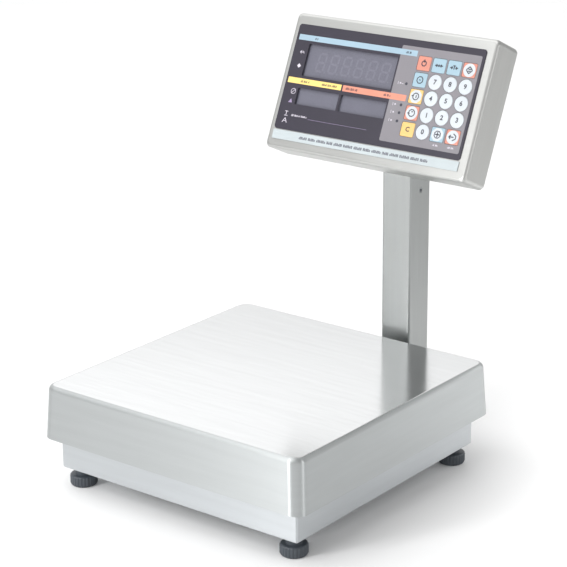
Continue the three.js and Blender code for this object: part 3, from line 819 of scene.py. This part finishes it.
WINDOWS = [(17.3, 124, 55.6, 88), (17.3, 67.2, 26.6, 43.1), (69.7, 124, 26.6, 43.1)]
KEY_AT = {"x": 154.5, "z": 85.4, "pitch_x": 17.0, "pitch_z": 16.2}
KEY_SIZE = {"wide": 14.8, "high": 13.8, "round": 7.4}
KEYS = [
    ["power", "zero", "tare", "total"],
    ["preset_tare", "7", "8", "9"],
    ["unit_price", "4", "5", "6"],
    ["memory", "1", "2", "3"],
    ["clear", "0", "add", "transfer"],
]
KEY_TONES = {
    "power": "coral", "zero": "blue", "tare": "blue", "total": "coral", "preset_tare": "blue",
    "unit_price": "yellow", "memory": "coral", "clear": "yellow", "add": "blue", "transfer": "coral",
}


def key_centre(row, column):
    return KEY_AT["x"] + column * KEY_AT["pitch_x"], KEY_AT["z"] - row * KEY_AT["pitch_z"]


def key_outline(name, row, column, extra=0.0):
    """A key's outline in the head's axes, grown by extra millimetres."""
    x, z = key_centre(row, column)
    if name.isdigit():
        return circle(*on_film(x, z), (KEY_SIZE["round"] + extra) * MM, 40)
    wide, high = KEY_SIZE["wide"] / 2 + extra, KEY_SIZE["high"] / 2 + extra
    return film_rect((x - wide, x + wide, z - high, z + high), 1.3 + extra)


def key_outlines(extra):
    return [key_outline(name, row, column, extra)
            for row, names in enumerate(KEYS) for column, name in enumerate(names)]


def curve_plate(name, outlines, front, back, material):
    """A plate with holes: the first outline is its edge and the others are cut out of it."""
    curve = bpy.data.curves.new(name, "CURVE")
    curve.dimensions = "2D"
    curve.fill_mode = "BOTH"
    curve.extrude = (back - front) / 2
    for outline in outlines:
        spline = curve.splines.new("POLY")
        spline.points.add(len(outline) - 1)
        for point, (x, z) in zip(spline.points, outline):
            point.co = (x, z, 0, 1)
        spline.use_cyclic_u = True
    mesh = mesh_of_curve(curve)
    mesh.name = name
    mesh.transform(Matrix.Translation((0, (front + back) / 2, 0)) @ Matrix.Rotation(math.pi / 2, 4, "X"))
    mesh.materials.clear()
    mesh.materials.append(material)
    bm = bmesh.new()
    bm.from_mesh(mesh)
    bmesh.ops.remove_doubles(bm, verts=bm.verts, dist=0.001 * MM)
    bmesh.ops.recalc_face_normals(bm, faces=bm.faces)
    bm.to_mesh(mesh)
    bm.free()
    piece = bpy.data.objects.new(name, mesh)
    bpy.context.scene.collection.objects.link(piece)
    return piece


def make_overlay():
    clearance = 0.3
    outlines = [film_rect((0, 219, 0, 107), 3.0)] + [film_rect(span, 0.8) for span in WINDOWS]
    film = curve_plate("overlay_sheet", outlines + key_outlines(clearance), FILM_FRONT, FILM_BACK, FILM)
    place_on_head(film, "overlay_film", "overlay")
    outlines = [film_rect((125.7, 216, 5.8, 100.3), 1.6)] + key_outlines(clearance)
    field = curve_plate("keypad_field", outlines, INK, FILM_FRONT, INK_GREY)
    place_on_head(field, "overlay_film")
    print_on_film("blue_bar", INK_BLUE, [film_rect((3, 144.5, 91, 96.6), 0.4)], OVER_FIELD)
    print_on_film("yellow_bar", INK_YELLOW, [film_rect((2.5, 67.6, 47.1, 52.8), 0.4)], OVER_FIELD)
    print_on_film("coral_bar", INK_CORAL, [film_rect((69.5, 144, 46.8, 52.8), 0.4)], OVER_FIELD)


def print_on_film(name, material, shapes, level, slot="overlay_film"):
    """Printed ink: polygons in X and Z that stand a hair off the film."""
    bm = bmesh.new()
    for shape in shapes:
        add_prism(bm, shape, level, level + PROUD, 0)
    place_on_head(new_object(name, bm, [material], smooth=False), slot)


def strokes(points, wide):
    """A line through points on the film, as a bar for each stretch."""
    return [bar(*on_film(*a), *on_film(*b), wide * MM) for a, b in zip(points, points[1:])]


def dashes(left, right, z, high, words, gap=0.9, bold=1.0):
    """Unreadable small print: a row of short marks, in groups like words."""
    shapes = []
    x = left
    i = 0
    while x < right:
        for k in range(words[i % len(words)]):
            wide = (0.75 if (i + k) % 3 else 0.45) * bold
            tall = high if (i * 2 + k) % 4 else high * 0.7
            if x + wide > right:
                break
            shapes.append(film_rect((x, x + wide, z, z + tall)))
            x += wide + 0.38
        x += gap
        i += 1
    return shapes


def icon_shapes():
    """The small signs left of the large window."""
    shapes = strokes([(8.6, 78.9), (13.4, 78.9)], 0.7)
    shapes += strokes([(10.4, 80.4), (8.6, 78.9), (10.4, 77.4)], 0.6)
    shapes += strokes([(12.2, 80.2), (13.8, 77.6)], 0.5)
    shapes.append(circle(*on_film(11.2, 65.0), 2.3 * MM, 4))
    return shapes


def lower_icon_shapes():
    """The small signs left of and below the small windows."""
    x, z = on_film(12.2, 39.0)
    shapes = ring_parts(x, z, 2.9 * MM, 0.5 * MM)
    shapes += strokes([(9.9, 36.7), (14.5, 41.3)], 0.5)
    shapes += strokes([(8.3, 14.0), (12.6, 14.0)], 0.5)
    shapes += strokes([(10.4, 14.0), (10.4, 18.3), (8.6, 18.3)], 0.6)
    shapes += strokes([(10.4, 18.3), (12.4, 18.3)], 0.6)
    shapes += strokes([(7.8, 6.8), (10.6, 11.6), (13.2, 6.8)], 0.7)
    shapes += strokes([(8.7, 8.6), (12.3, 8.6)], 0.5)
    return shapes


LAMP_LEVELS = (63.7, 42.8, 35.1, 27.0)


def make_prints():
    print_on_film("icons_upper", INK_PALE, icon_shapes(), INK)
    print_on_film("icons_lower", INK_PALE, lower_icon_shapes(), INK)
    triangle = [on_film(9.0, 27.4), on_film(14.0, 27.4), on_film(12.0, 31.6)]
    print_on_film("icon_stable", INK_VIOLET, [triangle], INK)
    print_on_film("small_print", INK_PALE, dashes(17.0, 36.5, 14.2, 1.9, (3, 4, 2, 5)), INK)
    rule = [bar(*on_film(37.7, 13.4), *on_film(108.6, 13.4), 0.28 * MM)]
    print_on_film("thin_rule", INK_VIOLET, rule, INK)
    marks = dashes(22.5, 28.0, 92.7, 2.1, (2, 1)) + dashes(131.5, 138.0, 92.7, 2.1, (3, 2))
    marks += dashes(18.0, 29.5, 48.8, 2.2, (3, 4)) + dashes(44.0, 63.0, 48.8, 2.2, (6, 4, 7))
    marks += dashes(73.0, 87.0, 48.6, 2.4, (5, 4)) + dashes(118.0, 126.5, 48.8, 2.2, (3, 2))
    print_on_film("bar_marks", INK_DARK, marks, OVER_BARS)
    lamps = [circle(*on_film(140.4, z), 1.45 * MM, 24) for z in LAMP_LEVELS]
    print_on_film("lamp_dots", INK_DARK, lamps, OVER_FIELD)
    signs = []
    for z in LAMP_LEVELS:
        x, centre_z = on_film(133.6, z)
        signs.append(circle(x, centre_z, 1.0 * MM, 4, 45))
        signs += strokes([(131.0, z - 1.4), (131.0, z + 1.4)], 0.45)
    signs += strokes([(135.2, 63.2), (137.2, 63.2)], 0.5)
    under = dashes(186.0, 193.0, 9.4, 1.7, (2, 3)) + dashes(202.5, 210.0, 9.4, 1.7, (3, 3))
    print_on_film("lamp_signs", INK_PALE, signs + under, OVER_FIELD)


def make_digits():
    """Six faint seven-segment digits behind the large window."""
    tall, wide, thick, slant, gap = 20.0, 10.6, 2.0, 0.10, 0.35
    h = thick / 2
    bottom = 61.6
    middle = bottom + tall / 2
    top = bottom + tall
    level = SHEET + 0.3 * MM - PROUD
    shapes = []

    def at(x, z):
        return on_film(x + (z - bottom) * slant, z)

    for i in range(6):
        left = 29.0 + i * 15.2
        x0, x1 = left + h + gap, left + wide - h - gap
        for z in (bottom + h, middle, top - h):
            shapes.append([at(x0, z), at(x0 + h, z - h), at(x1 - h, z - h), at(x1, z),
                           at(x1 - h, z + h), at(x0 + h, z + h)])
        for x in (left + h, left + wide - h):
            for z0, z1 in ((bottom + h + gap, middle - gap), (middle + gap, top - h - gap)):
                shapes.append([at(x, z0), at(x + h, z0 + h), at(x + h, z1 - h), at(x, z1),
                               at(x - h, z1 - h), at(x - h, z0 + h)])
        shapes.append(circle(*at(left + wide + 1.7, bottom + 0.9), 0.85 * MM, 14))
    print_on_film("faint_digits", INK_FAINT, shapes, level, "display_glass")


def make_label():
    left, right = FILM_CORNER.x, FILM_CORNER.x + OVERLAY["width"]
    bottom, top = 9.3 * MM, 18.7 * MM

    def outline(inset):
        return rounded_rect(left + inset, right - inset, bottom + inset, top - inset, 1.0 * MM, 4)

    front = -0.7 * MM
    strip = rounded_plate("label_sheet", outline, front, FILM_BACK, 0.12 * MM, LABEL)
    place_on_head(strip, "label_film", "label_strip")
    marks = dashes(33.0, 187.0, -7.2, 2.8, (8, 7, 9, 6, 8, 9), 1.4, 1.3)
    print_on_film("label_marks", INK_SMOKE, marks, front - PROUD, "label_film")


# ---- Keys ---------------------------------------------------------------------------------


def add_text(bm, text, size, x, z, front, back, index):
    """A built-in font's outline about a middle in X and Z, a little bolder."""
    curve = bpy.data.curves.new("glyph", "FONT")
    curve.body = text
    curve.size = size
    curve.align_x = "CENTER"
    curve.align_y = "CENTER"
    curve.resolution_u = 4
    curve.offset = 0.03 * size
    mesh = mesh_of_curve(curve)
    for face in mesh.polygons:
        points = [mesh.vertices[v].co for v in face.vertices]
        add_prism(bm, [(x + p.x, z + p.y) for p in points], front, back, index)
    bpy.data.meshes.remove(mesh)


def add_cap(bm, outline, cx, cz):
    """A key's cap: a soft-edged plate, slightly crowned."""
    edge, crown = 0.35 * MM, 0.12 * MM

    def scaled(inset):
        reach = max(abs(x - cx) for x, _ in outline)
        share = 1 - inset / reach
        return [(cx + (x - cx) * share, cz + (z - cz) * share) for x, z in outline]

    front = KEY_FRONT + crown
    rings = [(0.0, KEY_FRONT + 2.5 * MM), (0.0, front + edge), (edge * 0.3, front + edge * 0.3)]
    rings += [(edge, front), (2.2 * MM, front - crown * 0.6), (4.2 * MM, front - crown * 0.95)]
    rows = [[bm.verts.new((x, depth, z)) for x, z in scaled(inset)] for inset, depth in rings]
    count = len(outline)
    bm.faces.new(list(reversed(rows[0])))
    bm.faces.new(rows[-1])
    for low, high in zip(rows, rows[1:]):
        for i in range(count):
            bm.faces.new((low[i - 1], low[i], high[i], high[i - 1]))


# A key's sign, in millimetres about its middle: the white ground as (radius, sides), the ring as
# (radius, width, sides), and the strokes as (x, z, x, z) with a width where it is not 1.
DISC = (6.5, 36)
OCTAGON = (6.7, 8)
ARROWS = [(-4.4, 0, -2.0, 0), (-2.9, 1.3, -1.7, 0), (-2.9, -1.3, -1.7, 0),
          (2.0, 0, 4.4, 0), (2.9, 1.3, 1.7, 0), (2.9, -1.3, 1.7, 0)]
DIAMOND = [(-3.4, 0, 0, 3.4), (0, 3.4, 3.4, 0), (3.4, 0, 0, -3.4), (0, -3.4, -3.4, 0)]
BRACKET = [(0.2, 3.4, 3.4, 1.4), (3.4, 1.4, 3.4, -1.4), (3.4, -1.4, 0.2, -3.4)]
KEY_SIGNS = {
    "power": (None, (3.1, 1.1, 8), [(0, 1.0, 0, 4.0)]),
    "zero": (None, (1.2, 0.9, 12), ARROWS),
    "tare": (None, None, ARROWS + [(0, -1.6, 0, 2.0), (-1.5, 2.0, 1.5, 2.0)]),
    "total": (DISC, None, DIAMOND + [(-1.3, 0.9, 1.5, 0.9), (-1.3, -0.9, 1.5, -0.9)]),
    "preset_tare": (None, (3.9, 1.0, 8), [(-0.9, 0, 0.9, 0, 0.9)]),
    "unit_price": (OCTAGON, (3.8, 1.0, 10), [(-4.6, 0.4, -2.2, 0.4), (0.4, -1.4, 0.4, 1.4)]),
    "memory": (DISC, (3.9, 1.0, 10), [(-4.6, -0.6, -2.0, -0.6), (-0.6, 1.2, 1.4, 1.2, 0.9)]),
    "add": (OCTAGON, (4.0, 0.9, 8), [(-2.6, 0, 2.6, 0, 1.1), (0, -2.6, 0, 2.6, 1.1)]),
    "transfer": (DISC, None, [(-4.0, 0, 1.2, 0, 1.1), (-4.2, 0, -2.2, 1.9), (-4.2, 0, -2.2, -1.9)] + BRACKET),
}


def flat_up(sides):
    """The turn that stands an octagon on a side; other outlines start on the right."""
    return 22.5 if sides == 8 else 0.0


def key_sign(name, x, z):
    """A key's sign as (white shapes, dark shapes)."""
    ground, ring, lines = KEY_SIGNS.get(name, (None, None, []))
    white, dark = [], []
    if ground:
        radius, sides = ground
        white.append(circle(x, z, radius * MM, sides, flat_up(sides)))
    if ring:
        radius, wide, sides = ring
        dark += ring_parts(x, z, radius * MM, wide * MM, sides, flat_up(sides))
    for x0, z0, x1, z1, *wide in lines:
        width = wide[0] if wide else 1.0
        dark.append(bar(x + x0 * MM, z + z0 * MM, x + x1 * MM, z + z1 * MM, width * MM))
    return white, dark


def make_key(name, row, column):
    tone = KEY_TONES.get(name, "white")
    x, z = on_film(*key_centre(row, column))
    bm = bmesh.new()
    add_cap(bm, key_outline(name, row, column), x, z)
    white, dark = key_sign(name, x, z)
    under = KEY_FRONT - 0.01 * MM
    sunk = under + 0.1 * MM
    for shape in white:
        add_prism(bm, shape, under - PROUD, sunk, 1)
    for shape in dark:
        add_prism(bm, shape, under - 2 * PROUD, sunk, 2)
    if name.isdigit() or name == "clear":
        text = "C" if name == "clear" else name
        add_text(bm, text, 6.4 * MM, x, z, under - PROUD, sunk, 2)
    cap = new_object("cap_" + name, bm, [KEY_FILM[tone], KEY_FILM["white"], INK_DARK])
    place_on_head(cap, "key_" + tone, "key_" + name, body="key_" + name)


def make_keys():
    for row, names in enumerate(KEYS):
        for column, name in enumerate(names):
            make_key(name, row, column)


# ---- Small fasteners the frame leaves to the looks ----------------------------------------


def make_cell_bolts():
    """Socket bolts that hold the load cell to its two risers."""
    low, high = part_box("load_cell")
    middle = (low + high) / 2
    profile = screw_profile(4.9 * MM, 4.0 * MM, 3 * MM, 0.5 * MM, 2.6 * MM)
    for i, along in enumerate((9 * MM, 25 * MM), 1):
        up = lathe(f"cell_bolt_{i}", profile, (low.x + along, middle.y, high.z), "Z", [ZINC], 24)
        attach(up, "base")


# ---- Stage --------------------------------------------------------------------------------

FLOOR_SIZE = 30.0


def make_floor():
    bm = bmesh.new()
    half = FLOOR_SIZE / 2
    corners = [(-half, -half), (half, -half), (half, half), (-half, half)]
    bm.faces.new([bm.verts.new((x, y, 0)) for x, y in corners])
    shader = Shader("pale_floor", (0.96, 0.96, 0.96), 0.9)
    shader.vary_colour(shader.noise(0.8, detail=1.0), 0.005)
    floor = new_object("floor", bm, [shader.material], smooth=False)
    floor.location.z = min(0.0, CAD_BOX[0].z)


SURROUND = 0.4  # the studio's even light
# Its broad glows: azimuth and elevation in degrees, how tight it is, and its strength.
GLOWS = [
    (-135, 15, 8, 0.77),
    (-30, 60, 10, 2.3),
    (-90, 40, 8, 0.9),
    (150, 28, 8, 0.4),
    (45, 15, 8, 0.35),
]


def make_world():
    """A pale studio all round, brightest above the front and behind the scale on its left."""
    world = bpy.data.worlds.new("studio")
    bpy.context.scene.world = world
    world.use_nodes = True
    nodes, links = world.node_tree.nodes, world.node_tree.links
    coords = nodes.new("ShaderNodeTexCoord")

    def maths(operation, first, second):
        node = nodes.new("ShaderNodeMath")
        node.operation = operation
        for socket, value in zip(node.inputs, (first, second)):
            if isinstance(value, bpy.types.NodeSocket):
                links.new(value, socket)
            else:
                socket.default_value = value
        return node.outputs["Value"]

    total = SURROUND
    for azimuth, elevation, tightness, strength in GLOWS:
        toward = nodes.new("ShaderNodeVectorMath")
        toward.operation = "DOT_PRODUCT"
        toward.inputs[1].default_value = outward(azimuth, elevation)
        links.new(coords.outputs["Generated"], toward.inputs[0])
        facing = maths("MAXIMUM", toward.outputs["Value"], 0.0)
        glow = maths("MULTIPLY", maths("POWER", facing, tightness), strength)
        total = maths("ADD", total, glow)
    links.new(total, nodes["Background"].inputs["Strength"])
    nodes["Background"].inputs["Color"].default_value = (1, 1, 1, 1)


def outward(azimuth, elevation):
    """The direction from the scale towards an azimuth and an elevation, in degrees."""
    a, e = math.radians(azimuth), math.radians(elevation)
    return Vector((math.sin(a) * math.cos(e), -math.cos(a) * math.cos(e), math.sin(e)))


def soft_light(name, azimuth, elevation, distance, width, height, power, aim):
    """A rectangular soft light that looks at aim."""
    light = bpy.data.lights.new(name, "AREA")
    light.shape = "RECTANGLE"
    light.size, light.size_y = width, height
    light.energy = power
    lamp = bpy.data.objects.new(name, light)
    out = outward(azimuth, elevation)
    lamp.location = aim + out * distance
    lamp.rotation_euler = (-out).to_track_quat("-Z", "Y").to_euler()
    bpy.context.scene.collection.objects.link(lamp)


def make_lights():
    aim = Vector((0, 0, 0.15))
    floor_rear_left = Vector((-0.7, 0.9, 0))
    floor_rear_right = Vector((0.3, 0.32, 0))
    soft_light("left_strip", -17, 14, 1.9, 0.25, 1.3, 20, aim)
    soft_light("right_strip", 88, 14, 1.9, 0.15, 1.3, 4, aim)
    soft_light("rear_floor", -142, 80, 1.3, 1.2, 2.5, 3.5, floor_rear_left)
    soft_light("side_floor", 0, 90, 0.16, 0.25, 0.25, 0.26, floor_rear_right)


CAMERA = {"azimuth": 37.88, "elevation": 18.48, "distance": 1.90237, "right": 0.01471, "up": 0.08666}
CAMERA_ROLL = math.radians(0.47)
CAMERA_LENS = 127.4


def make_camera():
    azimuth = math.radians(CAMERA["azimuth"])
    back = outward(CAMERA["azimuth"], CAMERA["elevation"])
    right = Vector((math.cos(azimuth), math.sin(azimuth), 0))
    up = back.cross(right)
    target = Vector((PLATTER_MID.x, PLATTER_MID.y, 0.1))
    place = target + back * CAMERA["distance"] + right * CAMERA["right"] + up * CAMERA["up"]
    rolled_right = right * math.cos(CAMERA_ROLL) - up * math.sin(CAMERA_ROLL)
    rolled_up = up * math.cos(CAMERA_ROLL) + right * math.sin(CAMERA_ROLL)
    turn = Matrix((rolled_right, rolled_up, back)).transposed()
    data = bpy.data.cameras.new("camera")
    data.lens = CAMERA_LENS
    data.sensor_width = 36
    data.clip_end = 60
    camera = bpy.data.objects.new("camera", data)
    camera.matrix_world = Matrix.Translation(place) @ turn.to_4x4()
    bpy.context.scene.collection.objects.link(camera)
    bpy.context.scene.camera = camera


# ---- Assembly -----------------------------------------------------------------------------

make_camera()
make_world()
make_lights()
make_floor()
bpy.context.scene.view_settings.view_transform = "Standard"

dress_cad_nodes()
make_platter()
make_base_frame()
make_feet()
make_column()
make_pivot_screws()
make_front_case()
make_rear_cover()
make_rear_screws()
make_cable_gland()
make_overlay()
make_prints()
make_digits()
make_label()
make_keys()
make_cell_bolts()
